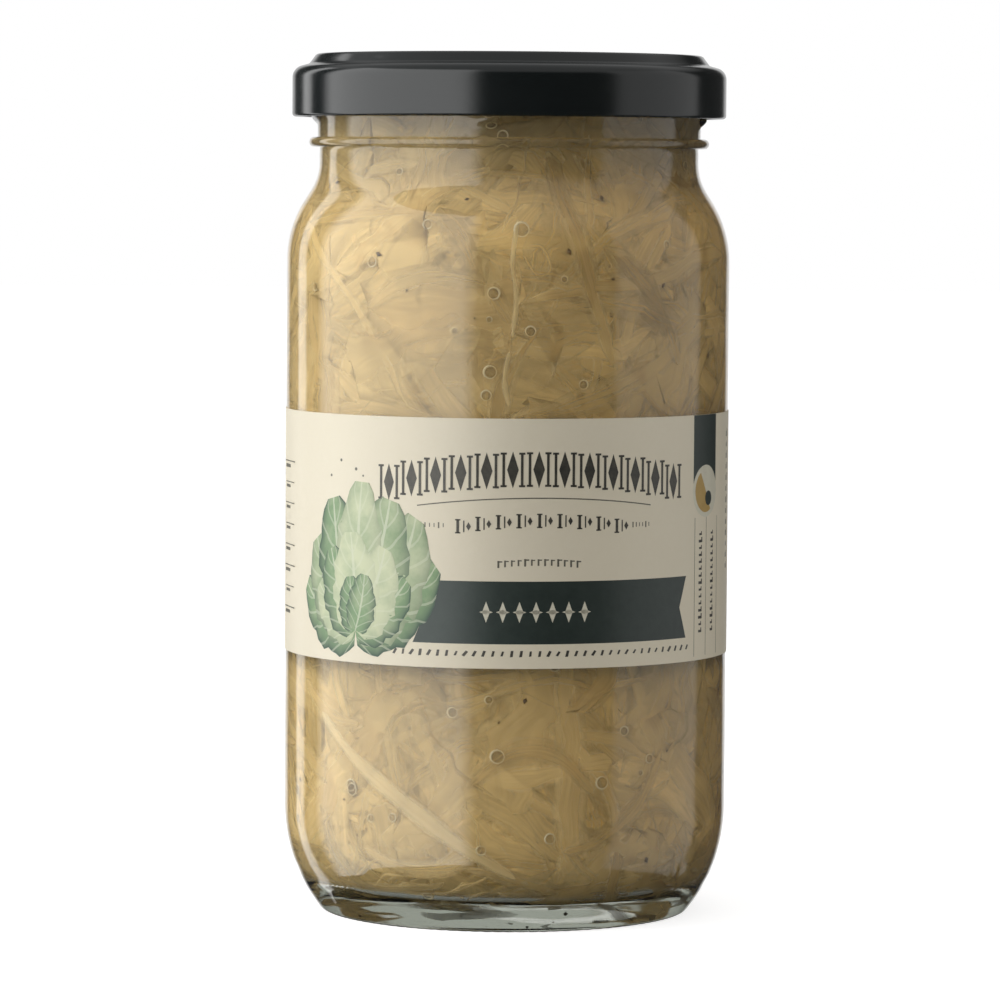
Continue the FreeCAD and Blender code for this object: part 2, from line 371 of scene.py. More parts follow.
def food_material(name, pale, deep, deep_at, streaks, spread, alpha=1.0):
    """Soaked cabbage: pale at the glass, darker and more golden further in (partly the brine's colour,
    partly painted shade), with fibres along each shred.
    """
    material, tree, shader = new_material(name)
    # Darker further from the glass: partly the brine's colour, partly painted shade in the depths between
    # shreds.
    depth = ranged(tree, attribute(tree, "set_back"), -0.2 * MM, deep_at * MM)
    base = blended(tree, depth, pale, deep)
    along = add_node(tree, "ShaderNodeCombineXYZ", {
        0: attribute(tree, "along"), 1: attribute(tree, "across"), 2: attribute(tree, "tone")})
    stretch = add_node(tree, "ShaderNodeVectorMath", {
        0: along.outputs[0], 1: (3.0, 16.0, 90.0)}, operation="MULTIPLY")
    fibre = add_node(tree, "ShaderNodeTexNoise", {
        "Vector": stretch.outputs[0], "Scale": 1.0, "Detail": 3.0, "Roughness": 0.6}).outputs[0]
    tone = maths(tree, "MULTIPLY_ADD", attribute(tree, "tone"), spread, 1 - spread / 2)
    fibres = maths(tree, "MULTIPLY_ADD", fibre, streaks, 1 - streaks / 2)
    clouds = maths(tree, "MULTIPLY_ADD", grain(tree, 75.0, 4.0, 0.6), 0.7, 0.65)
    strength = maths(tree, "MULTIPLY", maths(tree, "MULTIPLY", tone, fibres), clouds)
    # Towards the top the cabbage darkens: painted shade under the shoulder and lid.
    shaded_under_lid = ranged(tree, own_height(tree), 105 * MM, 119 * MM, 1.0, 0.66)
    strength = maths(tree, "MULTIPLY", strength, shaded_under_lid)
    colour = add_node(tree, "ShaderNodeVectorMath", {0: base, "Scale": strength}, operation="SCALE")
    feed(tree, shader, {
        "Base Color": colour.outputs[0], "Roughness": 0.5, "Specular IOR Level": 0.06,
        "Subsurface Weight": 0.5 if alpha == 1.0 else 0.0,
        "Subsurface Radius": (1.0, 0.95, 0.85), "Subsurface Scale": 1.2 * MM,
        "Normal": bumped(tree, fibre, 0.15, 0.12)})
    if alpha < 1.0:
        # A shred's cut edges are thin, and let more through than its middle.
        thin = add_node(tree, "ShaderNodeMapRange", {
            "Value": maths(tree, "ABSOLUTE", attribute(tree, "across")), "From Min": 0.15, "From Max": 0.5,
            "To Min": alpha, "To Max": 0.1}, interpolation_type="SMOOTHSTEP")
        feed(tree, shader, {"Alpha": thin.outputs[0]})
    return material


def add_attribute(data, name, values):
    """Give every point of a mesh a number under that name."""
    layer = data.attributes.new(name, "FLOAT", "POINT")
    layer.data.foreach_set("value", np.asarray(values, dtype=np.float32))


core_outline = rounded(inside_outline(WALL + CORE_GAP, CORE_GAP, FILL_LEVEL - 2.0), 1.1)
core_outline += rounded([(WAIST - WALL - CORE_GAP, FILL_LEVEL - 1.5, 0), (0, FILL_LEVEL - 1.5, 0)], 1.1)
core = turned("sauerkraut_core", core_outline, 260)
places = np.array([vertex.co / MM for vertex in core.data.vertices])
outward = np.array([vertex.normal for vertex in core.data.vertices])
lumps = np.array([
    noise.fractal(Vector(p) * 0.1, 1.0, 2.2, 3) + 0.4 * noise.fractal(Vector(p) * 0.45, 1.0, 2.0, 3)
    for p in places])
push = np.clip(CORE_LUMP * lumps, -1.1, 0.9)
depths = (CORE_GAP - push) * MM
core.data.vertices.foreach_set("co", ((places + outward * push[:, None]) * MM).ravel())
core.data.update()
add_attribute(core.data, "set_back", depths)
add_attribute(core.data, "tone", [0.5] * len(depths))
# The deep colour is partly the brine's own colour and partly painted shade.
CABBAGE_PALE = (0.70, 0.525, 0.25, 1)
CABBAGE_DEEP_AND_SHADED = (0.54, 0.365, 0.125, 1)
core.data.materials.append(food_material("brine_soaked_mass", CABBAGE_PALE, CABBAGE_DEEP_AND_SHADED, 2.4, 0.2, 0.2))
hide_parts("sauerkraut")
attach(core, "root")


# ---------------------------------------------------------------- shreds on the glass
# The cabbage is cut into flat shreds a few millimetres wide. Packed under pressure, they lie
# on the jar's inside in swirls, and the outermost are pressed flat against it.

def growing_tree(name, words):
    """A Geometry Nodes tree with named inputs: the tree, its input sockets, their identifiers."""
    tree = bpy.data.node_groups.new(name, "GeometryNodeTree")
    sockets = {}
    for kind, names in words.items():
        for word in names.split(", "):
            socket = tree.interface.new_socket(word, in_out="INPUT", socket_type="NodeSocket" + kind)
            sockets[word] = socket.identifier
    tree.interface.new_socket("Grown", in_out="OUTPUT", socket_type="NodeSocketGeometry")
    return tree, add_node(tree, "NodeGroupInput").outputs, sockets


def any_number(tree, low, high, seed):
    """A number of its own for each thing, from a seed."""
    return add_node(tree, "FunctionNodeRandomValue", {
        2: low, 3: high, "Seed": seed}, data_type="FLOAT").outputs[1]


def finished(tree, given, laid):
    """End a tree: real geometry in place of instances, in the finish that was given."""
    laid = add_node(tree, "GeometryNodeRealizeInstances", {0: laid}).outputs[0]
    laid = add_node(tree, "GeometryNodeSetMaterial", {
        "Geometry": laid, "Material": given["Finish"]}).outputs[0]
    add_node(tree, "NodeGroupOutput", {0: laid})


def shred_tree(name, sections, sides):
    """A Geometry Nodes tree that lays many bent shreds on a wall and wraps them to it."""
    tree, given, sockets = growing_tree(name, {
        "Geometry": "Wall", "Int": "Seed", "Material": "Finish",
        "Float": "Density, Shortest, Longest, Narrowest, Widest, Thickness, Nearest, Farthest, "
                 "Swirl, Swirl Size, Ripple, Turn"})

    def sums(operation, *values):
        return maths(tree, operation, *values)

    def vector(operation, *values, **more):
        inputs = dict(enumerate(values))
        inputs.update(more)
        return add_node(tree, "ShaderNodeVectorMath", inputs, operation=operation).outputs[0]

    def any_between(low, high, offset):
        return any_number(tree, low, high, sums("ADD", given["Seed"], offset))

    def remember(geometry, word, value, domain="POINT"):
        return add_node(tree, "GeometryNodeStoreNamedAttribute", {
            "Geometry": geometry, "Name": word, "Value": value},
            data_type="FLOAT", domain=domain).outputs[0]

    def recall(word):
        return add_node(tree, "GeometryNodeInputNamedAttribute", {"Name": word},
                        data_type="FLOAT").outputs[0]

    # one shred of unit length, width and thickness, blunt at its ends
    line = add_node(tree, "GeometryNodeCurvePrimitiveLine", {
        "Start": (-0.5, 0, 0), "End": (0.5, 0, 0)})
    line = add_node(tree, "GeometryNodeResampleCurve", {"Curve": line.outputs[0], "Count": sections + 1})
    share = add_node(tree, "GeometryNodeSplineParameter").outputs["Factor"]
    from_middle = sums("ABSOLUTE", sums("MULTIPLY_ADD", share, 2.0, -1.0))
    blunt = sums("SQRT", sums("SUBTRACT", 1.03, sums("POWER", from_middle, 3.5)))
    line = add_node(tree, "GeometryNodeSetCurveRadius", {"Curve": line.outputs[0], "Radius": blunt})
    section = add_node(tree, "GeometryNodeCurvePrimitiveCircle", {
        "Resolution": sides, "Radius": 0.5})
    # "Scale" makes the section as thick as the radius says wherever Blender asks for it.
    body = add_node(tree, "GeometryNodeCurveToMesh", {
        "Curve": line.outputs[0], "Profile Curve": section.outputs[0], "Fill Caps": True})
    if "Scale" in body.inputs:
        tree.links.new(blunt, body.inputs["Scale"])
    shred = body.outputs[0]
    own_place = add_node(tree, "GeometryNodeInputPosition").outputs[0]
    own_axes = add_node(tree, "ShaderNodeSeparateXYZ", {0: own_place}).outputs
    shred = remember(shred, "along", own_axes[0])
    shred = remember(shred, "across", own_axes[1])
    shred = remember(shred, "height", own_axes[2])

    # places on the wall, each with a heading that drifts slowly from place to place
    points = add_node(tree, "GeometryNodeDistributePointsOnFaces", {
        "Mesh": given["Wall"], "Density": given["Density"], "Seed": given["Seed"]})
    normal = points.outputs["Normal"]
    drift = add_node(tree, "ShaderNodeTexNoise", {"Scale": 28.0, "Detail": 1.0}).outputs[0]
    heading = sums("ADD", sums("MULTIPLY", drift, 7.0), any_between(-0.5, 0.5, 1))
    heading = sums("MULTIPLY_ADD", any_between(-1.0, 1.0, 2), given["Turn"], heading)
    level_way = vector("NORMALIZE", vector("CROSS_PRODUCT", (0, 0, 1), normal))
    way = vector("ADD",
                 vector("SCALE", level_way, Scale=sums("COSINE", heading)),
                 vector("SCALE", (0, 0, 1), Scale=sums("SINE", heading)))
    facing = add_node(tree, "FunctionNodeAlignRotationToVector", {"Vector": normal}, axis="Z")
    facing = add_node(tree, "FunctionNodeAlignRotationToVector", {
        "Rotation": facing.outputs[0], "Vector": way}, axis="X", pivot_axis="Z")
    size = add_node(tree, "ShaderNodeCombineXYZ", {
        0: any_between(given["Shortest"], given["Longest"], 3),
        1: any_between(given["Narrowest"], given["Widest"], 4),
        2: given["Thickness"]})
    laid = add_node(tree, "GeometryNodeInstanceOnPoints", {
        "Points": points.outputs["Points"], "Instance": shred,
        "Rotation": facing.outputs[0], "Scale": size.outputs[0]}).outputs[0]
    laid = remember(laid, "set_back", any_between(given["Nearest"], given["Farthest"], 5), "INSTANCE")
    laid = remember(laid, "tone", any_between(0.0, 1.0, 6), "INSTANCE")
    laid = add_node(tree, "GeometryNodeRealizeInstances", {"Geometry": laid}).outputs[0]

    # bend every shred by the same slow swirls, then bring it to its place on the wall
    place = add_node(tree, "GeometryNodeInputPosition").outputs[0]
    reach = sums("DIVIDE", 1.0, given["Swirl Size"])
    swirl = add_node(tree, "ShaderNodeTexNoise", {
        "Vector": vector("ADD", place, vector("SCALE", (1.7, 0.9, 0.4), Scale=recall("tone"))),
        "Scale": reach, "Detail": 2.0}).outputs["Color"]
    shift = vector("SCALE", vector("SUBTRACT", swirl, (0.5, 0.5, 0.5)),
                   Scale=sums("MULTIPLY", given["Swirl"], 2.0))
    laid = add_node(tree, "GeometryNodeSetPosition", {"Geometry": laid, "Offset": shift}).outputs[0]
    there = add_node(tree, "GeometryNodeInputPosition").outputs[0]
    on_wall = add_node(tree, "GeometryNodeSampleNearestSurface", {
        "Mesh": given["Wall"], "Value": there, "Sample Position": there}, data_type="FLOAT_VECTOR")
    wall_normal = add_node(tree, "GeometryNodeInputNormal").outputs[0]
    off_wall = add_node(tree, "GeometryNodeSampleNearestSurface", {
        "Mesh": given["Wall"], "Value": wall_normal, "Sample Position": there},
        data_type="FLOAT_VECTOR")
    ripple = add_node(tree, "ShaderNodeTexNoise", {
        "Vector": there, "Scale": 180.0, "Detail": 1.0}).outputs[0]
    rippled = sums("MULTIPLY", sums("SUBTRACT", ripple, 0.5), sums("MULTIPLY", given["Ripple"], 2.0))
    thickness = sums("MULTIPLY", sums("SUBTRACT", 0.5, recall("height")), given["Thickness"])
    back = sums("ADD", sums("ADD", recall("set_back"), rippled), thickness)
    place_now = vector("SUBTRACT", on_wall.outputs[0],
                       vector("SCALE", off_wall.outputs[0], Scale=back))
    laid = add_node(tree, "GeometryNodeSetPosition", {"Geometry": laid, "Position": place_now})
    laid = remember(laid.outputs[0], "set_back", back)
    smooth = add_node(tree, "GeometryNodeSetShadeSmooth", {0: laid})
    finished(tree, given, smooth.outputs[0])
    return tree, sockets


def grown(name, carrier, tree, sockets, **sizes):
    """What a tree makes on a carrier, as a plain mesh object of its own."""
    thing = added(name, carrier.data.copy())
    modifier = thing.modifiers.new("grow", "NODES")
    modifier.node_group = tree
    for word, value in sizes.items():
        modifier[sockets[word.replace("_", " ")]] = value
    bpy.context.view_layer.update()
    evaluated = thing.evaluated_get(bpy.context.evaluated_depsgraph_get())
    data = bpy.data.meshes.new_from_object(evaluated)
    thing.modifiers.clear()
    thing.data = data
    data.name = name
    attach(thing, "root")
    return thing


wall_outline = rounded(inside_outline(WALL - PRESS, -PRESS, FILL_LEVEL), 1.5)
wall = turned("pressing_wall", wall_outline, 160)
soaked = food_material("soaked_shreds", CABBAGE_PALE, CABBAGE_DEEP_AND_SHADED, 2.0, 0.8, 0.35, alpha=0.8)
sheer = food_material("sheer_shreds", CABBAGE_PALE, CABBAGE_DEEP_AND_SHADED, 2.0, 0.8, 0.35, alpha=0.45)
ribbons = shred_tree("shreds_on_wall", 10, 6)
threads = shred_tree("strands_on_wall", 8, 4)
leafy = shred_tree("leaves_on_wall", 14, 10)
SHRED_WORDS = ("Density", "Seed", "Shortest", "Longest", "Narrowest", "Widest", "Thickness",
               "Farthest", "Swirl", "Swirl_Size", "Ripple", "Turn")
for name, cut, finish, nearest, numbers in (
        ("shreds_deep", ribbons, soaked, 0.0003,
         (24000.0, 11, 0.018, 0.045, 0.003, 0.009, 0.0004, 0.0013, 0.006, 0.02, 0.0003, 1.5)),
        ("shreds_outer", ribbons, sheer, 0.0,
         (15000.0, 3, 0.018, 0.048, 0.0015, 0.005, 0.0003, 0.0008, 0.006, 0.02, 0.0003, 1.2)),
        ("strands_fine", threads, sheer, 0.0,
         (7000.0, 23, 0.010, 0.03, 0.0004, 0.0011, 0.0004, 0.0006, 0.007, 0.012, 0.0002, 1.6)),
        ("leaf_pieces", leafy, sheer, 0.0,
         (5000.0, 31, 0.016, 0.036, 0.008, 0.016, 0.0003, 0.0009, 0.008, 0.009, 0.0003, 1.6))):
    piece = grown(name, wall, *cut, Nearest=nearest, Finish=finish, **dict(zip(SHRED_WORDS, numbers)))
    # The shreds are so soaked that they hardly shade what lies under them.
    piece.visible_diffuse = False
    piece.visible_shadow = False


# ---------------------------------------------------------------- long shreds
# A few long shreds lie over the others right on the glass: a pale one from the left, down across
# the lower front, two thin upright ones over the label, and fainter ones that arch and curl.

wall_heights = [point.y for point in wall_outline if point.y > FLOOR + 0.5]
wall_radii = [point.x for point in wall_outline if point.y > FLOOR + 0.5]


def wall_radius(up):
    """How far the inside of the glass is from the axis at a height."""
    return float(np.interp(up, wall_heights, wall_radii))


def laid_shred(name, path, width, set_back, tone, finish):
    """A flat shred along a path of azimuths and heights on the inside of the glass."""
    points = []
    for i in range(len(path) - 1):
        before = path[max(i - 1, 0)]
        after = path[min(i + 2, len(path) - 1)]
        for j in range(8):
            t = j / 8
            points.append([
                0.5 * (2 * b + (c - a) * t + (2 * a - 5 * b + 4 * c - d) * t * t
                       + (3 * b - a - 3 * c + d) * t ** 3)
                for a, b, c, d in zip(before, path[i], path[i + 1], after)])
    points.append(path[-1])
    places = [Vector(round_at(wall_radius(up) - set_back, radians(turn), up)) for turn, up in points]
    flesh = bmesh.new()
    words = {word: flesh.verts.layers.float.new(word)
             for word in ("along", "across", "tone", "set_back")}
    rows = []
    for i, place in enumerate(places):
        along = i / (len(places) - 1)
        forward = (places[min(i + 1, len(places) - 1)] - places[max(i - 1, 0)]).normalized()
        out = Vector((place.x, place.y, 0)).normalized()
        side = forward.cross(out).normalized()
        out = side.cross(forward)
        half = width / 2 * sqrt(max(0.02, 1 - abs(2 * along - 1) ** 3.5))
        half *= 1 + 0.18 * sin(9 * along + width) + 0.08 * sin(23 * along)
        row = []
        for j in range(8):
            angle = 2 * pi * j / 8
            vertex = flesh.verts.new(place + side * (half * cos(angle)) + out * (0.2 * sin(angle)))
            vertex[words["along"]] = (along - 0.5) * len(places) / 30
            vertex[words["across"]] = 0.5 * cos(angle)
            vertex[words["tone"]] = tone
            vertex[words["set_back"]] = set_back * MM
            row.append(vertex)
        rows.append(row)
    for below, above in zip(rows, rows[1:]):
        for j in range(8):
            flesh.faces.new((below[j - 1], below[j], above[j], above[j - 1]))
    flesh.faces.new(rows[0][::-1])
    flesh.faces.new(rows[-1])
    bmesh.ops.recalc_face_normals(flesh, faces=flesh.faces)
    bmesh.ops.scale(flesh, vec=(MM, MM, MM), verts=flesh.verts)
    shred = made(name, flesh, finish)
    shred.visible_diffuse = False
    shred.visible_shadow = False
    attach(shred, "root")
    return shred


pale_rib = food_material(
    "pale_rib", (0.83, 0.68, 0.38, 1), (0.77, 0.59, 0.29, 1), 2.4, 0.7, 0.1, alpha=0.55)
faint_rib = food_material(
    "faint_rib", (0.75, 0.58, 0.29, 1), (0.66, 0.47, 0.20, 1), 2.4, 0.8, 0.1, alpha=0.4)
LONG_SHREDS = {
    "shred_long_front": ([(-57, 31.5), (-44, 25.5), (-28, 19.5), (-12, 13.5), (3, 8.7)], 3.0, 0.1),
    "shred_upright": ([(2.5, 105), (1.0, 99), (2.2, 94), (1.2, 88)], 0.9, 0.1),
    "shred_upright_low": ([(0.5, 86), (-0.8, 82), (0.4, 78)], 1.0, 0.15),
}
FAINT_SHREDS = {
    "shred_under_long": ([(-66, 36), (-58, 32.5), (-50, 30.8), (-42, 30.5)], 3.6, 0.25),
    "shred_curl_shoulder": ([(20, 115), (25, 111.5), (31, 112), (33, 109)], 0.9, 0.1),
    "shred_curl_front": ([(4, 100), (7.5, 97.2), (11, 98), (9, 101), (5.5, 101.3)], 0.6, 0.1),
    "shred_arch_left": ([(-40, 92), (-30, 95.5), (-18, 97), (-6, 96)], 3.8, 0.2),
    "shred_arch_low": ([(-10, 22), (2, 27), (14, 26.5), (24, 21)], 3.9, 0.25),
    "shred_bow_right": ([(16, 12.5), (26, 14), (38, 19), (46, 27)], 2.6, 0.2),
    "shred_bow_heel": ([(-40, 12), (-28, 9.8), (-14, 10.5), (-6, 13)], 2.8, 0.2),
}
for ribs, tone, finish in ((LONG_SHREDS, 0.75, pale_rib), (FAINT_SHREDS, 0.6, faint_rib)):
    for name, (path, width, set_back) in ribs.items():
        laid_shred(name, path, width, set_back, tone, finish)


# ---------------------------------------------------------------- bubbles and dark bits
# Gas from the ferment clings to the glass as small bubbles, each a ring of painted highlight
# round a middle darkened as painted shade. Among the shreds are a few small dark specks.

def bit_tree():
    """A Geometry Nodes tree that scatters one small shape over the inside of the glass."""
    tree, given, sockets = growing_tree("bits_on_wall", {
        "Geometry": "Wall", "Object": "Bit", "Int": "Seed", "Material": "Finish",
        "Float": "Density, Smallest, Largest, Set Back"})
    points = add_node(tree, "GeometryNodeDistributePointsOnFaces", {
        "Mesh": given["Wall"], "Density": given["Density"], "Seed": given["Seed"]})
    spin = add_node(tree, "ShaderNodeCombineXYZ", {2: any_number(tree, 0.0, 6.28, given["Seed"])})
    facing = add_node(tree, "FunctionNodeAlignRotationToVector", {
        "Rotation": spin.outputs[0], "Vector": points.outputs["Normal"]}, axis="Z")
    size = any_number(tree, given["Smallest"], given["Largest"], given["Seed"])
    shift = add_node(tree, "ShaderNodeVectorMath", {
        0: points.outputs["Normal"], "Scale": maths(tree, "MULTIPLY", given["Set Back"], -1.0)},
        operation="SCALE")
    laid = add_node(tree, "GeometryNodeSetPosition", {
        "Geometry": points.outputs["Points"], "Offset": shift.outputs[0]})
    bit = add_node(tree, "GeometryNodeObjectInfo", {"Object": given["Bit"]})
    laid = add_node(tree, "GeometryNodeInstanceOnPoints", {
        "Points": laid.outputs[0], "Instance": bit.outputs["Geometry"],
        "Rotation": facing.outputs[0], "Scale": size})
    finished(tree, given, laid.outputs[0])
    return tree, sockets


def moulded(name, points, faces):
    """A small shape in millimetres, smooth all over."""
    data = bpy.data.meshes.new(name)
    data.from_pydata([(x * MM, y * MM, z * MM) for x, y, z in points], [], faces)
    for face in data.polygons:
        face.use_smooth = True
    return added(name, data)


bits_on_wall, bit_sockets = bit_tree()
RIM_STEPS = 12
rim_points = []
for i in range(RIM_STEPS):
    turn = 2 * pi * i / RIM_STEPS
    # The ring is thicker on one side, so its painted highlight is brighter there.
    thick = 0.075 + 0.045 * cos(turn)
    for j in range(4):
        round_ = 2 * pi * j / 4
        reach = 0.62 + thick * cos(round_)
        rim_points.append((reach * cos(turn), reach * sin(turn), thick * sin(round_)))
rim_faces = [(4 * i + j, 4 * ((i + 1) % RIM_STEPS) + j, 4 * ((i + 1) % RIM_STEPS) + (j + 1) % 4,
              4 * i + (j + 1) % 4) for i in range(RIM_STEPS) for j in range(4)]
bubble_rim = moulded("bubble_rim", rim_points, rim_faces)
dome_points = [(0, 0, -0.35), (0, 0, 0.02)]
dome_points += [(0.55 * cos(2 * pi * i / 12), 0.55 * sin(2 * pi * i / 12), -0.05) for i in range(12)]
dome_faces = [(0, 2 + (i + 1) % 12, 2 + i) for i in range(12)]
dome_faces += [(1, 2 + i, 2 + (i + 1) % 12) for i in range(12)]
bubble_middle = moulded("bubble_middle", dome_points, dome_faces)
speck = moulded("dark_bit", [(0.5, 0, 0), (0, 0.28, 0), (-0.45, 0.05, 0), (0, -0.3, 0),
                             (0.05, 0, 0.18), (0, 0, -0.2)],
                [(0, 1, 4), (1, 2, 4), (2, 3, 4), (3, 0, 4), (1, 0, 5), (2, 1, 5), (3, 2, 5), (0, 3, 5)])


def bit_material(name, colour, second, roughness, alpha):
    """A small thing's finish: two close colours, mottled, and how much it hides."""
    material, tree, shader = new_material(name)
    mottle = blended(tree, grain(tree, 400.0, 2.0), colour, second)
    feed(tree, shader, {"Base Color": mottle, "Roughness": roughness, "Alpha": alpha})
    return material


# A pale ring of painted highlight and a darker middle of painted shade stand in for each bubble's glint
# and shading.
highlight_ring_finish = bit_material("bubble_painted_highlight", (1.0, 0.93, 0.68, 1), (0.95, 0.83, 0.55, 1), 0.2, 0.5)
shaded_middle_finish = bit_material("bubble_painted_shade", (0.42, 0.31, 0.13, 1), (0.50, 0.37, 0.16, 1), 0.2, 0.16)
# Small dark specks, scattered a little behind the glass.
speck_finish = bit_material("dark_specks", (0.07, 0.045, 0.018, 1), (0.16, 0.10, 0.04, 1), 0.6, 0.8)
for name, bit, finish, density, smallest, largest, set_back, seed in (
        ("bubble_rims", bubble_rim, highlight_ring_finish, 5200.0, 0.5, 1.5, 0.0, 8),
        ("bubble_middles", bubble_middle, shaded_middle_finish, 5200.0, 0.5, 1.5, 0.0, 8),
        ("dark_bits", speck, speck_finish, 3600.0, 0.4, 1.3, 0.12, 15)):
    grown(name, wall, bits_on_wall, bit_sockets, Bit=bit, Density=density, Seed=seed,
          Smallest=smallest, Largest=largest, Set_Back=set_back * MM, Finish=finish)


def placed(name, shape, places, finish):
    """Copies of a small shape at given azimuths and heights on the inside of the glass."""
    copies = bmesh.new()
    for turn, up, size, spin in places:
        radius = wall_radius(up) * MM
        out = Vector((sin(radians(turn)), -cos(radians(turn)), 0))
        side = Vector((cos(radians(turn)), sin(radians(turn)), 0))
        grown_from = len(copies.verts)
        copies.from_mesh(shape.data)
        copies.verts.ensure_lookup_table()
        for vertex in copies.verts[grown_from:]:
            a, b, c = Matrix.Rotation(radians(spin), 3, "Z") @ vertex.co * size
            vertex.co = out * (radius + c) + side * a + Vector((0, 0, up * MM + b))
    thing = made(name, copies, finish)
    thing.visible_diffuse = False
    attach(thing, "root")
    return thing


FRONT_BUBBLES = [
    # azimuth, height, size, turn of the side where the painted highlight is brightest
    (-2, 117.5, 1.2, 60), (3.5, 103.6, 1.7, 120), (-22.5, 104.2, 1.1, 200), (-3.8, 94.5, 1.4, 30),
    (5.9, 89, 1.2, 90), (-4.6, 83, 1.5, 160), (20.2, 81.2, 1.1, 40), (-5.6, 79.6, 1.2, 100),
    (-2, 26.6, 1.6, 150), (26.4, 22.5, 1.5, 200), (-44.9, 21.2, 1.4, 70), (-31, 17, 1.0, 10),
    (12, 14.5, 1.2, 140), (33, 30, 1.1, 60), (-14, 33, 1.2, 180), (-36, 112, 0.9, 0),
]
placed("bubble_rims_front", bubble_rim, FRONT_BUBBLES, highlight_ring_finish)
placed("bubble_middles_front", bubble_middle, FRONT_BUBBLES, shaded_middle_finish)
for shape in (bubble_rim, bubble_middle, speck, wall):
    bpy.data.objects.remove(shape)


# ---------------------------------------------------------------- lid
# A twist-off cap pressed from 0.3 mm tinplate, with a sunk panel, a raised crown, a stepped
# shoulder and a rolled curl at its foot. The outside has a green-black gloss lacquer.

LID_TOP = RIM + 0.3
LID_FOOT = LID_TOP - 9.5
CROWN = NECK + 0.2
STEP = NECK + 1.3
SKIRT = NECK + 3.85
PANEL = WAIST - WALL - 0.6
lid_outline = rounded([
    (0, LID_TOP - 0.8, 0),
    (PANEL - 1.2, LID_TOP - 0.8, 1.0),
    (PANEL, LID_TOP, 0.8),
    (CROWN, LID_TOP, 0.8),
    (STEP, LID_TOP - 1.5, 0.6),
    (SKIRT, LID_TOP - 2.2, 1.8),
    (SKIRT, LID_FOOT, 0.5),
    (SKIRT - 1.3, LID_FOOT, 0.5),
    (SKIRT - 1.3, LID_FOOT + 1.6, 0.4),
    (SKIRT - 0.3, LID_FOOT + 1.6, 0),
    (SKIRT - 0.3, LID_TOP - 2.5, 1.5),
    (STEP - 0.3, LID_TOP - 1.8, 0.9),
    (CROWN - 0.15, RIM, 0.5),
    (PANEL, RIM, 0.8),
    (PANEL - 1.2, RIM - 0.8, 1.0),
    (0, RIM - 0.8, 0),
], 1.2)
lid = turned("lid_cap", lid_outline, 256)
lacquer, lacquer_tree, lacquer_shader = new_material("green_black_lacquer")
haze = grain(lacquer_tree, 90.0, 4.0, 0.65)
feed(lacquer_tree, lacquer_shader, {
    "Base Color": blended(lacquer_tree, haze, (0.006, 0.0085, 0.009, 1), (0.009, 0.012, 0.011, 1)),
    "Roughness": ranged(lacquer_tree, haze, 0.3, 0.7, 0.13, 0.2),
    "Normal": bumped(lacquer_tree, grain(lacquer_tree, 900.0, 1.0), 0.06, 0.05)})
lid.data.materials.append(lacquer)
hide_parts("lid")
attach(lid, "root")


# ---------------------------------------------------------------- label
# Uncoated cream paper, wrapped round the body and glued, with its two ends short of each other
# at the back. It lies flat on the glass, and its cut edges are sharp.

LABEL_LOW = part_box("label")[0].z / MM
LABEL_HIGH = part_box("label")[1].z / MM
PAPER = 0.12
PAPER_INSIDE = BODY + 0.02
PAPER_FACE = PAPER_INSIDE + PAPER
LABEL_HALF = 180 - 12.0 / PAPER_FACE * 90 / pi


def thickened(flat, faces, depth):
    """Raise a flat sheet's faces to a depth, with walls between."""
    risen = bmesh.ops.extrude_face_region(flat, geom=faces)
    for part in risen["geom"]:
        if isinstance(part, bmesh.types.BMVert):
            part.co.y = depth


def wrapped(name, flat, finish):
    """Wrap flat things round the jar: across is an arc on the paper, depth stands off its face."""
    for vertex in flat.verts:
        across, out, up = vertex.co
        vertex.co = round_at((PAPER_FACE + out) * MM, across / PAPER_FACE, up * MM)
    bmesh.ops.recalc_face_normals(flat, faces=flat.faces)
    for edge in flat.edges:
        edge.smooth = len(edge.link_faces) == 2 and edge.calc_face_angle() < radians(40)
    thing = made(name, flat, finish)
    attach(thing, "root")
    return thing


paper, paper_tree, paper_shader = new_material("cream_paper")
fibres = grain(paper_tree, 1400.0, 4.0, 0.7)
blend = maths(paper_tree, "MULTIPLY", fibres, grain(paper_tree, 60.0, 3.0, 0.6))
feed(paper_tree, paper_shader, {
    "Base Color": blended(paper_tree, blend, (0.80, 0.715, 0.535, 1), (0.86, 0.785, 0.62, 1)),
    "Roughness": 0.42, "Specular IOR Level": 0.5, "Normal": bumped(paper_tree, fibres, 0.15, 0.03)})

flat_paper = bmesh.new()
columns = 240
rows = 10
half_arc = radians(LABEL_HALF) * PAPER_FACE
grid = []
for i in range(columns + 1):
    across = -half_arc + 2 * half_arc * i / columns
    column = []
    for j in range(rows + 1):
        up = LABEL_LOW + (LABEL_HIGH - LABEL_LOW) * j / rows
        column.append(flat_paper.verts.new((across, 0, up)))
    grid.append(column)
for i in range(columns):
    for j in range(rows):
        flat_paper.faces.new((grid[i][j], grid[i + 1][j], grid[i + 1][j + 1], grid[i][j + 1]))
thickened(flat_paper, flat_paper.faces[:], -PAPER)
label = wrapped("label_paper", flat_paper, paper)
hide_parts("label")


# ---------------------------------------------------------------- printed fields
# Flat inks on the paper: a dark banner with a swallow tail, a dark strip from the label's top
# edge to a round seal, and fine rules. Each film of ink stands a few hundredths of a millimetre
# off the paper at most.

def ink(name, colour, second, fineness=500.0):
    """Printing ink: two close colours in fine grains, a little glossier than the paper."""
    material, tree, shader = new_material(name)
    spread = ranged(tree, grain(tree, fineness, 3.0, 0.7), 0.3, 0.7)
    feed(tree, shader, {"Base Color": blended(tree, spread, colour, second), "Roughness": 0.38})
    return material


def arc_at(azimuth):
    """The arc on the paper, in millimetres, to an azimuth from the label's middle."""
    return radians(azimuth) * PAPER_FACE


INK = 0.012
STRIP = 1.2


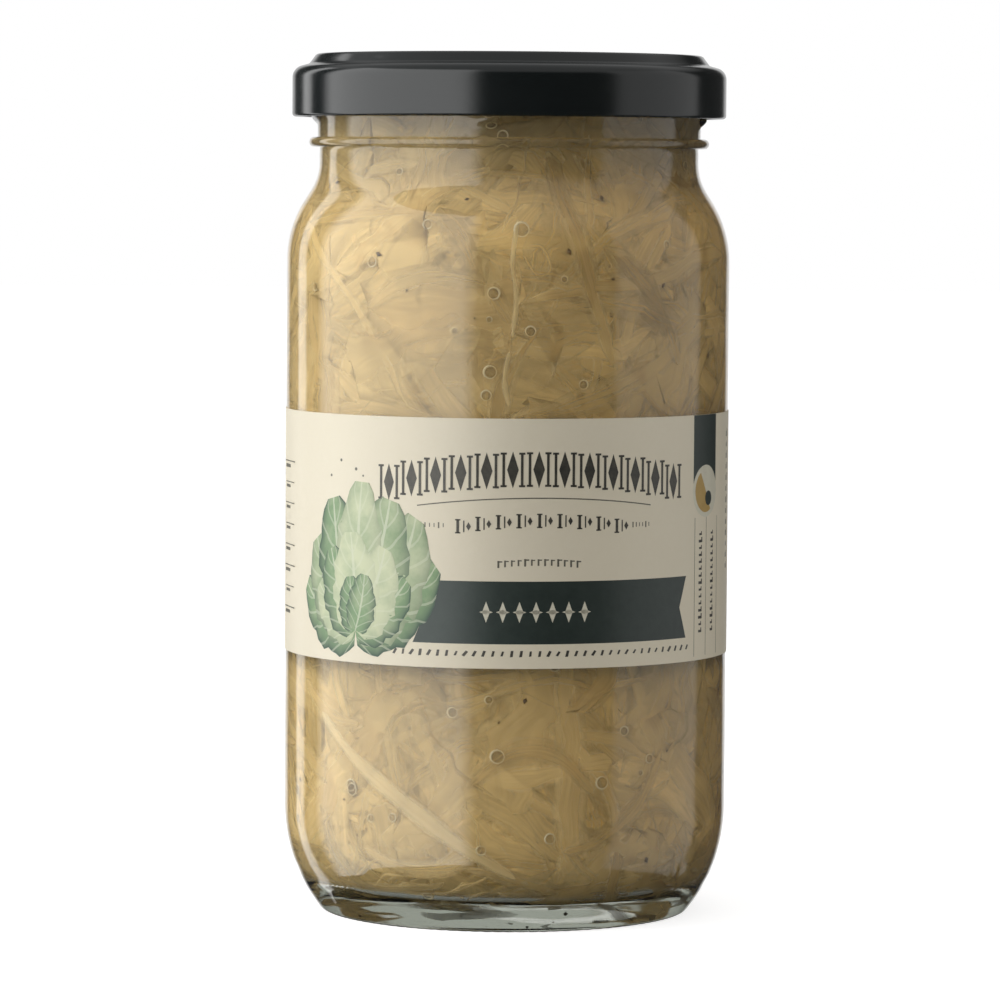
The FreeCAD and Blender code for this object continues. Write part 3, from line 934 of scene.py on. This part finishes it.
def printed(name, loop, finish, lift=INK):
    """A closed outline in arc and height, filled, cut into narrow strips, raised and wrapped."""
    flat = bmesh.new()
    corners = [flat.verts.new((across, -0.05, up)) for across, up in loop]
    for i in range(len(corners)):
        flat.edges.new((corners[i - 1], corners[i]))
    bmesh.ops.triangle_fill(flat, use_beauty=True, edges=flat.edges[:])
    low = min(vertex.co.x for vertex in flat.verts)
    high = max(vertex.co.x for vertex in flat.verts)
    for k in range(ceil(low / STRIP), ceil(high / STRIP)):
        everything = flat.verts[:] + flat.edges[:] + flat.faces[:]
        bmesh.ops.bisect_plane(flat, geom=everything, plane_co=(k * STRIP, 0, 0), plane_no=(1, 0, 0))
    thickened(flat, flat.faces[:], lift)
    return wrapped(name, flat, finish)


def ring(across, up, radius, steps=40):
    """A round outline on the paper."""
    return [(across + radius * cos(2 * pi * j / steps), up + radius * sin(2 * pi * j / steps))
            for j in range(steps)]


dark_ink = ink("green_black_ink", (0.020, 0.033, 0.027, 1), (0.028, 0.043, 0.035, 1))
grey_ink = ink("thin_dark_ink", (0.10, 0.095, 0.07, 1), (0.17, 0.155, 0.11, 1), 900.0)
line_ink = ink("dark_line_ink", (0.035, 0.033, 0.025, 1), (0.075, 0.068, 0.05, 1), 900.0)
ochre_ink = ink("ochre_ink", (0.46, 0.29, 0.07, 1), (0.52, 0.34, 0.10, 1))
cream_ink = ink("cream_ink", (0.66, 0.62, 0.48, 1), (0.74, 0.70, 0.55, 1))
BANNER_LOW = 43.3
BANNER_HIGH = 52.5
banner_middle = (BANNER_LOW + BANNER_HIGH) / 2
printed("print_banner", [
    (arc_at(-24), BANNER_LOW), (arc_at(52.5), BANNER_LOW), (arc_at(49.8), banner_middle),
    (arc_at(52.5), BANNER_HIGH), (arc_at(-17), BANNER_HIGH)], dark_ink)
STRIP_FROM = arc_at(55.6)
STRIP_TO = arc_at(68.2)
SEAL_RADIUS = 3.9
seal_across = (STRIP_FROM + STRIP_TO) / 2
SEAL_HEIGHT = 64.9
printed("print_strip", [
    (STRIP_FROM, SEAL_HEIGHT), (STRIP_TO, SEAL_HEIGHT),
    (STRIP_TO, LABEL_HIGH - 0.02), (STRIP_FROM, LABEL_HIGH - 0.02)], dark_ink)
printed("print_seal_ground", ring(seal_across, SEAL_HEIGHT, SEAL_RADIUS), cream_ink, 1.5 * INK)
half_moon = [(seal_across + 3.2 * cos(radians(a)), SEAL_HEIGHT + 3.2 * sin(radians(a)))
             for a in range(120, 301, 10)]
printed("print_seal_half", half_moon, ochre_ink, 2 * INK)
printed("print_seal_heart", ring(seal_across + 0.9, SEAL_HEIGHT - 1.1, 1.1, 24), dark_ink, 2.5 * INK)


def arch(across_from, across_to, height, rise, steps):
    """Points of a flat arch over a stretch of the label."""
    points = []
    for i in range(steps + 1):
        share = i / steps
        across = across_from + (across_to - across_from) * share
        points.append((across, height + rise * (1 - (2 * share - 1) ** 2)))
    return points


def rule(name, across_from, across_to, height, rise, thick):
    """A fine rule, level or arched."""
    over = arch(across_from, across_to, height + thick / 2, rise, 40)
    under = arch(across_from, across_to, height - thick / 2, rise, 40)
    return printed(name, over + under[::-1], grey_ink)


rule("print_rule", arc_at(-23), arc_at(39), 63.4, 1.3, 0.17)
for side, azimuth_at in (("left", 56.4), ("middle", 62.4), ("right", 69.6)):
    place = arc_at(azimuth_at)
    printed(f"print_upright_{side}", [
        (place - 0.05, LABEL_LOW + 0.6), (place + 0.05, LABEL_LOW + 0.6),
        (place + 0.05, SEAL_HEIGHT - SEAL_RADIUS), (place - 0.05, SEAL_HEIGHT - SEAL_RADIUS)],
        grey_ink)


# ---------------------------------------------------------------- printed rows
# Rows of small marks take the place of lettering: a frieze of upright lozenges and bars under
# the label's top, smaller rows below it, a row of hand-drawn dashes and short bars at the ends.

def row_tree():
    """A Geometry Nodes tree that sets copies of a mark along a guide line round the jar."""
    tree, given, sockets = growing_tree("marks_in_a_row", {
        "Geometry": "Guide", "Object": "Mark", "Int": "Count, Seed", "Float": "Lean Spread, Shortest",
        "Material": "Finish"})
    line = add_node(tree, "GeometryNodeMeshToCurve", {0: given["Guide"]})
    line = add_node(tree, "GeometryNodeResampleCurve", {"Curve": line.outputs[0], "Count": given["Count"]})
    axes = add_node(tree, "ShaderNodeSeparateXYZ", {
        0: add_node(tree, "GeometryNodeInputPosition").outputs[0]}).outputs
    turn = maths(tree, "ARCTAN2", axes[0], maths(tree, "MULTIPLY", axes[1], -1.0))
    lean = maths(tree, "MULTIPLY", any_number(tree, -1.0, 1.0, given["Seed"]), given["Lean Spread"])
    turned_by = add_node(tree, "ShaderNodeCombineXYZ", {1: lean, 2: turn})
    size = any_number(tree, given["Shortest"], 1.0, maths(tree, "ADD", given["Seed"], 7.0))
    mark = add_node(tree, "GeometryNodeObjectInfo", {"Object": given["Mark"]})
    laid = add_node(tree, "GeometryNodeInstanceOnPoints", {
        "Points": line.outputs[0], "Instance": mark.outputs["Geometry"],
        "Rotation": turned_by.outputs[0], "Scale": size})
    finished(tree, given, laid.outputs[0])
    return tree, sockets


marks_in_a_row, mark_sockets = row_tree()


def row_of_marks(name, outlines, guide, count, finish, lift=INK, Shortest=1.0, **sizes):
    """Marks cut from outlines in millimetres, repeated along a guide of arcs and heights."""
    flat = bmesh.new()
    for outline in outlines:
        flat.faces.new([flat.verts.new((a * MM, 0.05 * MM, b * MM)) for a, b in outline])
    thickened(flat, flat.faces[:], -lift * MM)
    bmesh.ops.recalc_face_normals(flat, faces=flat.faces)
    mark_data = bpy.data.meshes.new(name + "_mark")
    flat.to_mesh(mark_data)
    flat.free()
    mark = added(name + "_mark", mark_data)
    guide_data = bpy.data.meshes.new(name + "_guide")
    places = [round_at(PAPER_FACE * MM, across / PAPER_FACE, up * MM) for across, up in guide]
    guide_data.from_pydata(places, [(i, i + 1) for i in range(len(places) - 1)], [])
    carrier = bpy.data.objects.new(name + "_guide", guide_data)
    row = grown(name, carrier, marks_in_a_row, mark_sockets, Mark=mark, Count=count,
                Finish=finish, Shortest=Shortest, **sizes)
    bpy.data.objects.remove(mark)
    return row


def lozenge(across, up, width, tall):
    """An upright lozenge."""
    return [(across - width / 2, up), (across, up - tall / 2), (across + width / 2, up),
            (across, up + tall / 2)]


def bar(across, up, width, tall):
    """An upright or level bar."""
    return [(across - width / 2, up - tall / 2), (across + width / 2, up - tall / 2),
            (across + width / 2, up + tall / 2), (across - width / 2, up + tall / 2)]


FRIEZE_TALL = 5.4
frieze = [lozenge(0, 0, 1.7, FRIEZE_TALL)]
frieze += [bar(side, 0, 0.38, FRIEZE_TALL * 0.86) for side in (1.35, -1.35)]
frieze += [bar(side, FRIEZE_TALL * end, 0.9, 0.3) for end in (0.44, -0.44) for side in (1.35, -1.35)]
row_of_marks("print_frieze", frieze, arch(arc_at(-31), arc_at(47), 66.7, 2.2, 60), 13, line_ink)
row_of_marks("print_small_row", [
    bar(-0.45, 0, 0.42, 2.1), bar(0.45, 0, 0.2, 1.7), lozenge(1.15, 0, 0.7, 1.2),
    bar(-0.45, 0.95, 0.8, 0.2), bar(-0.45, -0.95, 0.8, 0.2)],
    arch(arc_at(-11.5), arc_at(29.5), 60.5, 0.9, 30), 9, line_ink)
for side, first, last in (("left", -22.0, -16.0), ("right", 33.5, 38.5)):
    row_of_marks(f"print_side_row_{side}", [bar(0, 0, 0.22, 0.9)],
                 arch(arc_at(first), arc_at(last), 60.6, 0.0, 6), 6, grey_ink, Shortest=0.6)
row_of_marks("print_tiny_row", [bar(0, 0, 0.3, 1.1), bar(0.35, 0.4, 0.5, 0.2)],
             arch(arc_at(-2), arc_at(18), 55.0, 0.3, 20), 13, grey_ink, Shortest=0.8)
row_of_marks("print_banner_row", [lozenge(0, 0, 1.15, 3.1), lozenge(0, 0, 2.0, 0.7)],
             arch(arc_at(-5), arc_at(20), 48.0, 0.0, 30), 7, cream_ink, lift=0.02)
row_of_marks("print_dashes", [[(-0.42, -0.45), (0.05, -0.5), (0.42, 0.4), (0.0, 0.5)]],
             arch(arc_at(-29), arc_at(53), 41.9, 0.0, 60), 36, line_ink, Shortest=0.65,
             Lean_Spread=0.35, Seed=4)
for side, azimuth_at in (("near", 59.3), ("far", 66.0)):
    row_of_marks(f"print_column_{side}", [bar(0, 0, 1.1, 0.42), bar(0.4, 0.35, 0.3, 0.5)],
                 [(arc_at(azimuth_at), 44.0), (arc_at(azimuth_at), 58.5)], 15, line_ink,
                 Shortest=0.7, Seed=2)
row_of_marks("print_left_rows", [bar(0, 0, 6.5, 0.16), bar(-1.2, -0.75, 3.2, 0.5)],
             [(arc_at(-76), 46.5), (arc_at(-76), 68.5)], 8, grey_ink, Shortest=0.8, Seed=5)
row_of_marks("print_right_column", [bar(0, 0, 0.5, 0.9), bar(0.8, 0.2, 0.25, 1.3)],
             [(arc_at(79.5), 53.0), (arc_at(79.5), 73.0)], 13, grey_ink, Shortest=0.6, Seed=9)
row_of_marks("print_specks", [ring(0, 0, 0.28, 10)],
             [(arc_at(-50.5), 67.2), (arc_at(-47), 69.6), (arc_at(-42), 68.6), (arc_at(-39), 67.4)],
             6, grey_ink, Shortest=0.4, Seed=3)


# ---------------------------------------------------------------- printed leaves
# A loose fan of broad leaves in pale green washes, printed at the left of the banner and over
# its end. Each leaf has a light midrib and side veins, and its wash gathers at the edge.

wash, wash_tree, wash_shader = new_material("green_washes")


def wash_maths(operation, *values):
    """A Math node's result in the washes."""
    return maths(wash_tree, operation, *values)


pool = grain(wash_tree, 230.0, 4.0, 0.6)
shade = attribute(wash_tree, "shade")
off_rib = wash_maths("ABSOLUTE", attribute(wash_tree, "across"))
edge = wash_maths("MULTIPLY", wash_maths("POWER", off_rib, 3.0), 1.1)
side_vein = wash_maths("SINE", wash_maths("MULTIPLY_ADD", attribute(wash_tree, "along"), 34.0,
                                          wash_maths("MULTIPLY", off_rib, -9.0)))
vein = wash_maths("MULTIPLY", wash_maths("GREATER_THAN", side_vein, 0.9), 0.35)
rib = wash_maths("LESS_THAN", off_rib, 0.06)
light_line = wash_maths("MAXIMUM", vein, wash_maths("MULTIPLY", rib, 0.6))
body_share = wash_maths("MULTIPLY_ADD", pool, 1.6, wash_maths("ADD", shade, -0.8))
body_share = add_node(wash_tree, "ShaderNodeClamp", {0: body_share}).outputs[0]
leaf_colour = blended(wash_tree, body_share, (0.63, 0.66, 0.42, 1), (0.20, 0.31, 0.15, 1))
leaf_colour = blended(wash_tree, wash_maths("MULTIPLY", edge, shade), leaf_colour,
                      (0.035, 0.075, 0.045, 1))
leaf_colour = blended(wash_tree, light_line, leaf_colour, (0.68, 0.70, 0.52, 1))
feed(wash_tree, wash_shader, {"Base Color": leaf_colour, "Roughness": 0.45})

fan = bmesh.new()
fan_layers = {word: fan.verts.layers.float.new(word) for word in ("along", "across", "shade")}
LEAF_ROWS = 16
LEAF_COLUMNS = 10


def leaf(root, heading, length, width, bend, shade, lift):
    """One broad leaf from its root, heading in degrees from upright, its edge gently lobed."""
    grid = []
    for i in range(LEAF_ROWS + 1):
        along = i / LEAF_ROWS
        turn = radians(heading + bend * along)
        middle = Vector(root) + Vector((sin(turn), cos(turn))) * (length * along)
        side = Vector((cos(turn), -sin(turn)))
        half = width / 2 * sqrt(max(0.0, sin(pi * (0.04 + 0.93 * along) ** 0.75)))
        lobed = 1 + 0.07 * sin(along * 21 + heading) + 0.04 * sin(along * 47)
        row = []
        for j in range(LEAF_COLUMNS + 1):
            across = 2 * j / LEAF_COLUMNS - 1
            place = middle + side * (across * half * lobed)
            vertex = fan.verts.new((place.x, -0.05, place.y))
            vertex[fan_layers["along"]] = along
            vertex[fan_layers["across"]] = across
            vertex[fan_layers["shade"]] = shade
            row.append(vertex)
        grid.append(row)
    faces = []
    for i in range(LEAF_ROWS):
        for j in range(LEAF_COLUMNS):
            corners = (grid[i][j], grid[i][j + 1], grid[i + 1][j + 1], grid[i + 1][j])
            faces.append(fan.faces.new(corners))
    thickened(fan, faces, lift)


FAN_ROOT = (arc_at(-41.3), 44.5)
LEAVES = [
    # heading, length, width, bend, shade
    (-84, 13.5, 9.5, 22, 0.95),
    (80, 17.0, 9.5, -26, 1.0),
    (-52, 16.0, 10.5, 18, 0.6),
    (54, 20.0, 11.5, -22, 0.45),
    (-24, 20.0, 10.5, 10, 0.95),
    (26, 20.5, 11.5, -8, 0.65),
    (0, 22.0, 9.5, 3, 0.3),
    (-64, 10.5, 7.5, 12, 0.25),
    (66, 12.0, 8.0, -16, 0.95),
    (-34, 13.0, 8.5, 10, 0.9),
    (36, 13.5, 9.0, -12, 0.2),
    (0, 14.5, 9.0, -4, 0.1),
    (-14, 8.0, 5.5, 6, 0.95),
    (20, 8.5, 5.5, -8, 0.85),
]
for i, numbers in enumerate(LEAVES):
    leaf(FAN_ROOT, *numbers, 0.02 + 0.004 * i)
wrapped("print_leaves", fan, wash)


# ---------------------------------------------------------------- studio
# A pale floor, a large soft panel on the left that reaches round behind, a narrow strip behind
# it and a weak panel on the right.

def between(tree, share, first, second):
    """A number between two others, by a share."""
    return add_node(tree, "ShaderNodeMix", {"Factor": share, 2: first, 3: second},
                    data_type="FLOAT").outputs[0]


def seen_first(tree):
    """The kinds of ray, and 1 for what is seen straight or through glass alone."""
    paths = add_node(tree, "ShaderNodeLightPath").outputs
    first = maths(tree, "LESS_THAN", paths["Diffuse Depth"], 0.5)
    seen = maths(tree, "MAXIMUM", paths["Is Camera Ray"], paths["Is Transmission Ray"])
    return paths, maths(tree, "MULTIPLY", seen, first)


PANEL_STEPS = 24


def stage_panel(name, azimuth_from, azimuth_to, distance, low, high, strength, soft):
    """A curved upright lamp panel round the jar, seen in reflections and not by the camera."""
    data = bpy.data.meshes.new(name)
    points = []
    fade = []
    for i in range(PANEL_STEPS + 1):
        angle = radians(azimuth_from + (azimuth_to - azimuth_from) * i / PANEL_STEPS)
        points += [round_at(distance, angle, low), round_at(distance, angle, high)]
        fade += [min(1.0, i / soft, (PANEL_STEPS - i) / soft)] * 2
    faces = [(2 * i, 2 * i + 1, 2 * i + 3, 2 * i + 2) for i in range(PANEL_STEPS)]
    data.from_pydata(points, [], faces)
    add_attribute(data, "fade", fade)
    panel = added(name, data)
    material = bpy.data.materials.new(name)
    material.use_nodes = True
    tree = material.node_tree
    tree.nodes.clear()
    emission = add_node(tree, "ShaderNodeEmission", {
        "Strength": maths(tree, "MULTIPLY", attribute(tree, "fade"), strength)})
    add_node(tree, "ShaderNodeOutputMaterial", {0: emission.outputs[0]})
    data.materials.append(material)
    panel.visible_camera = False
    panel.visible_diffuse = False
    panel.visible_transmission = False
    panel.visible_shadow = False
    return panel


stage_panel("panel_left", -15.0, -114.5, 0.7, -0.4, 0.85, 2.7, 2.0)
stage_panel("panel_strip", -125.5, -140.0, 0.7, -0.4, 0.6, 1.9, 6.0)
stage_panel("panel_right", 54.5, 118.0, 0.7, -0.4, 0.7, 0.8, 1.5)

# The soft light that falls on the object comes from the left panel's place, a little above it.
key_data = bpy.data.lights.new("key", "AREA")
key_data.shape = "RECTANGLE"
key_data.size = 0.5
key_data.size_y = 0.6
key_data.energy = 3.8
key_data.color = (0.965, 1.0, 1.055)
key = added("key", key_data)
key.location = (-0.69, -0.12, 0.3)
key.rotation_euler = (Vector((0, 0, 0.07)) - key.location).to_track_quat("-Z", "Y").to_euler()
key.visible_glossy = False
key.visible_transmission = False

floor_data = bpy.data.meshes.new("floor")
floor_data.from_pydata([(-4, -4, 0), (4, -4, 0), (4, 4, 0), (-4, 4, 0)], [], [(0, 1, 2, 3)])
floor = added("floor", floor_data)
floor_material, floor_tree, floor_shader = new_material("pale_floor")
paths, seen = seen_first(floor_tree)
# Seen through the jar's base, the floor under the jar is in the jar's own shade.
reach = add_node(floor_tree, "ShaderNodeVectorMath", {0: own_place(floor_tree)}, operation="LENGTH")
shade = ranged(floor_tree, reach.outputs["Value"], 0.03, 0.05, 0.12, 0.75)
shade = between(floor_tree, paths["Is Camera Ray"], shade, 0.75)
feed(floor_tree, floor_shader, {
    "Base Color": (0.8, 0.8, 0.8, 1), "Roughness": 0.9, "Specular IOR Level": 0.0,
    "Emission Color": (1, 1, 1, 1), "Emission Strength": maths(floor_tree, "MULTIPLY", seen, shade)})
floor_material.cycles.emission_sampling = "NONE"
floor_data.materials.append(floor_material)
floor.visible_glossy = False

world = bpy.data.worlds.new("studio")
bpy.context.scene.world = world
world.use_nodes = True
world.cycles.sampling_method = "NONE"
world_tree = world.node_tree
world_tree.nodes.clear()
way = add_node(world_tree, "ShaderNodeTexCoord").outputs["Generated"]
axes = add_node(world_tree, "ShaderNodeSeparateXYZ", {0: way}).outputs
overhead = ranged(world_tree, axes["Z"], 0.42, 0.65, 0.05, 0.6)
behind = ranged(world_tree, axes["Y"], 0.92, 0.96, 0.0, 0.85)
paths, clear_view = seen_first(world_tree)
soft = between(world_tree, paths["Is Glossy Ray"], 0.43, maths(world_tree, "MAXIMUM", overhead, behind))
level = between(world_tree, clear_view, soft, 1.0)
# What reaches the cabbage through glass and brine is warmer, and gathers inside the jar.
later = maths(world_tree, "GREATER_THAN", paths["Diffuse Depth"], 0.5)
inside = maths(world_tree, "MULTIPLY", paths["Is Transmission Ray"], later)
sky_colour = blended(world_tree, inside, (1, 1, 1, 1), (2.6, 2.15, 1.45, 1))
sky = add_node(world_tree, "ShaderNodeBackground", {"Color": sky_colour, "Strength": level})
add_node(world_tree, "ShaderNodeOutputWorld", {0: sky.outputs[0]})

camera_data = bpy.data.cameras.new("camera")
camera_data.lens = 188.6
camera_data.sensor_width = 36
camera_data.clip_end = 20
camera = added("camera", camera_data)
camera.location = (-0.001, -0.796, 0.1132)
look = Matrix.Rotation(radians(90 - 3.66), 4, "X")
roll = Matrix.Rotation(radians(0.4), 4, "Z")
camera.rotation_euler = (look @ roll).to_euler()
bpy.context.scene.camera = camera
bpy.context.scene.view_settings.view_transform = "Standard"
